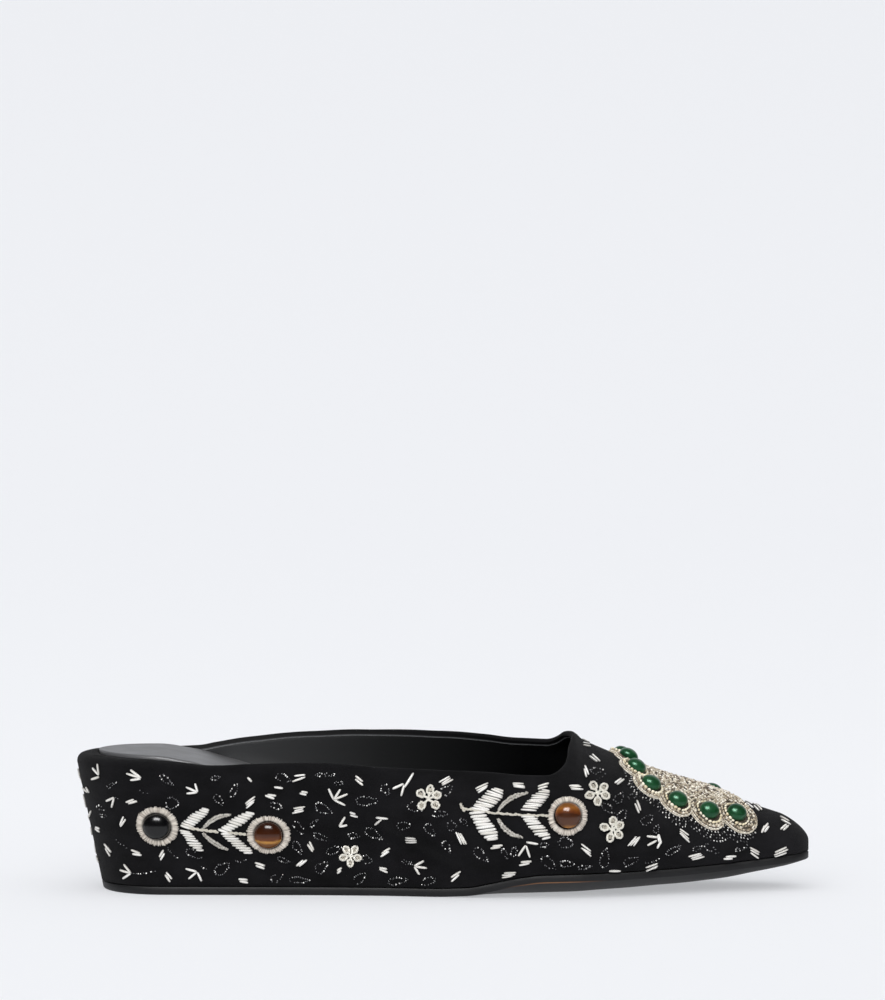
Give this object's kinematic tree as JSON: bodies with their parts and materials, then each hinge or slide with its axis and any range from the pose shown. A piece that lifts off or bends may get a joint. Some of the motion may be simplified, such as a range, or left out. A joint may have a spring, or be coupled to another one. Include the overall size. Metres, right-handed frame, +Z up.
{
  "type": "wedge mule",
  "caption": "Pointed backless wedge mule for the right foot: hollow embroidered suede upper over a wedge, leather insole, thin outsole, beaded vamp plaque and domed stones.",
  "frame": {"origin": "middle of the shoe's box on the floor under the sole", "axes": "+X to the toe, +Y to the inner side of the foot, +Z up"},
  "size_m": [0.2607, 0.0834, 0.0552],
  "materials": {
    "suede": "napped suede, matt",
    "sole_edge": "satin",
    "wedge_core": "plain cork, hidden",
    "insole_leather": "smooth, soft sheen",
    "beadwork": "beads and metallic thread",
    "stitched_ring": "satin stitch",
    "green_stone": "polished, opaque",
    "onyx": "polished, opaque",
    "amber": "polished, opaque"
  },
  "bodies": {
    "root": {"upper": "suede", "outsole": "sole_edge", "wedge": "wedge_core", "insole": "insole_leather", "plaque": "beadwork", "green_stone_1": "green_stone", "green_stone_2": "green_stone", "green_stone_3": "green_stone", "green_stone_4": "green_stone", "green_stone_5": "green_stone", "green_stone_6": "green_stone", "green_stone_7": "green_stone", "green_stone_8": "green_stone", "green_stone_9": "green_stone", "green_stone_10": "green_stone", "green_stone_11": "green_stone", "heel_onyx_ring_outer": "stitched_ring", "wedge_amber_ring_outer": "stitched_ring", "vamp_amber_ring_outer": "stitched_ring", "heel_onyx_ring_inner": "stitched_ring", "wedge_amber_ring_inner": "stitched_ring", "vamp_amber_ring_inner": "stitched_ring", "heel_onyx_outer": "onyx", "heel_onyx_inner": "onyx", "wedge_amber_outer": "amber", "vamp_amber_outer": "amber", "wedge_amber_inner": "amber", "vamp_amber_inner": "amber"}
  },
  "joints": []
}
